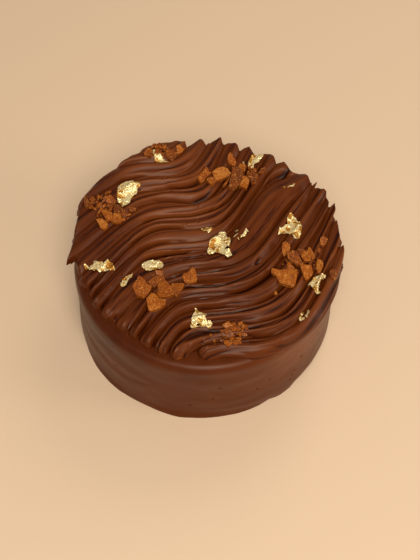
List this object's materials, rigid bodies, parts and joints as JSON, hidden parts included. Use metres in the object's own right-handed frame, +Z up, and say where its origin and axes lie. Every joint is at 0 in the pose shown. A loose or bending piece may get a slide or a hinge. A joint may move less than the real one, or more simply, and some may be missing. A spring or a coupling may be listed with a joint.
{
  "type": "chocolate crunch cake",
  "caption": "Round uncut chocolate cake with a smooth spread side, ridged S-curve piping on top, praline shards and gold leaf.",
  "frame": {"origin": "centre of the round base, on the table", "axes": "+Z up along the cake's axis, -Y towards the viewer at the front, +X to the right; the piping's rounded ends are at the front left and its torn ends at the right and back"},
  "size_m": [0.1685, 0.1672, 0.0706],
  "materials": {
    "icing": "satin chocolate buttercream, combed into fine ridges on top and spread smooth on the side",
    "praline": "broken caramel praline, slightly glassy and grainy",
    "gold_leaf": "crumpled bright gold leaf"
  },
  "bodies": {
    "root": {"cake": "icing", "crunch_front_1": "praline", "crunch_front_2": "praline", "crunch_front_3": "praline", "crunch_front_4": "praline", "crunch_front_5": "praline", "crunch_front_6": "praline", "crunch_right_1": "praline", "crunch_right_2": "praline", "crunch_right_3": "praline", "crunch_right_4": "praline", "crunch_right_5": "praline", "crunch_right_6": "praline", "crunch_right_7": "praline", "crunch_right_8": "praline", "crunch_back_1": "praline", "crunch_back_2": "praline", "crunch_back_3": "praline", "crunch_back_4": "praline", "crunch_back_5": "praline", "crunch_back_6": "praline", "crunch_back_7": "praline", "crunch_back_8": "praline", "crunch_left_1": "praline", "crunch_left_2": "praline", "crunch_left_3": "praline", "crunch_left_4": "praline", "crunch_left_5": "praline", "crunch_rear_1": "praline", "crunch_rear_2": "praline", "crunch_rear_3": "praline", "crunch_low_1": "praline", "gold_leaf_1": "gold_leaf", "gold_leaf_2": "gold_leaf", "gold_leaf_3": "gold_leaf", "gold_leaf_4": "gold_leaf", "gold_leaf_5": "gold_leaf", "gold_leaf_6": "gold_leaf", "gold_leaf_7": "gold_leaf", "gold_leaf_8": "gold_leaf", "gold_leaf_9": "gold_leaf", "gold_leaf_10": "gold_leaf", "gold_leaf_11": "gold_leaf", "gold_leaf_12": "gold_leaf", "gold_leaf_13": "gold_leaf", "gold_leaf_14": "gold_leaf"}
  },
  "joints": []
}
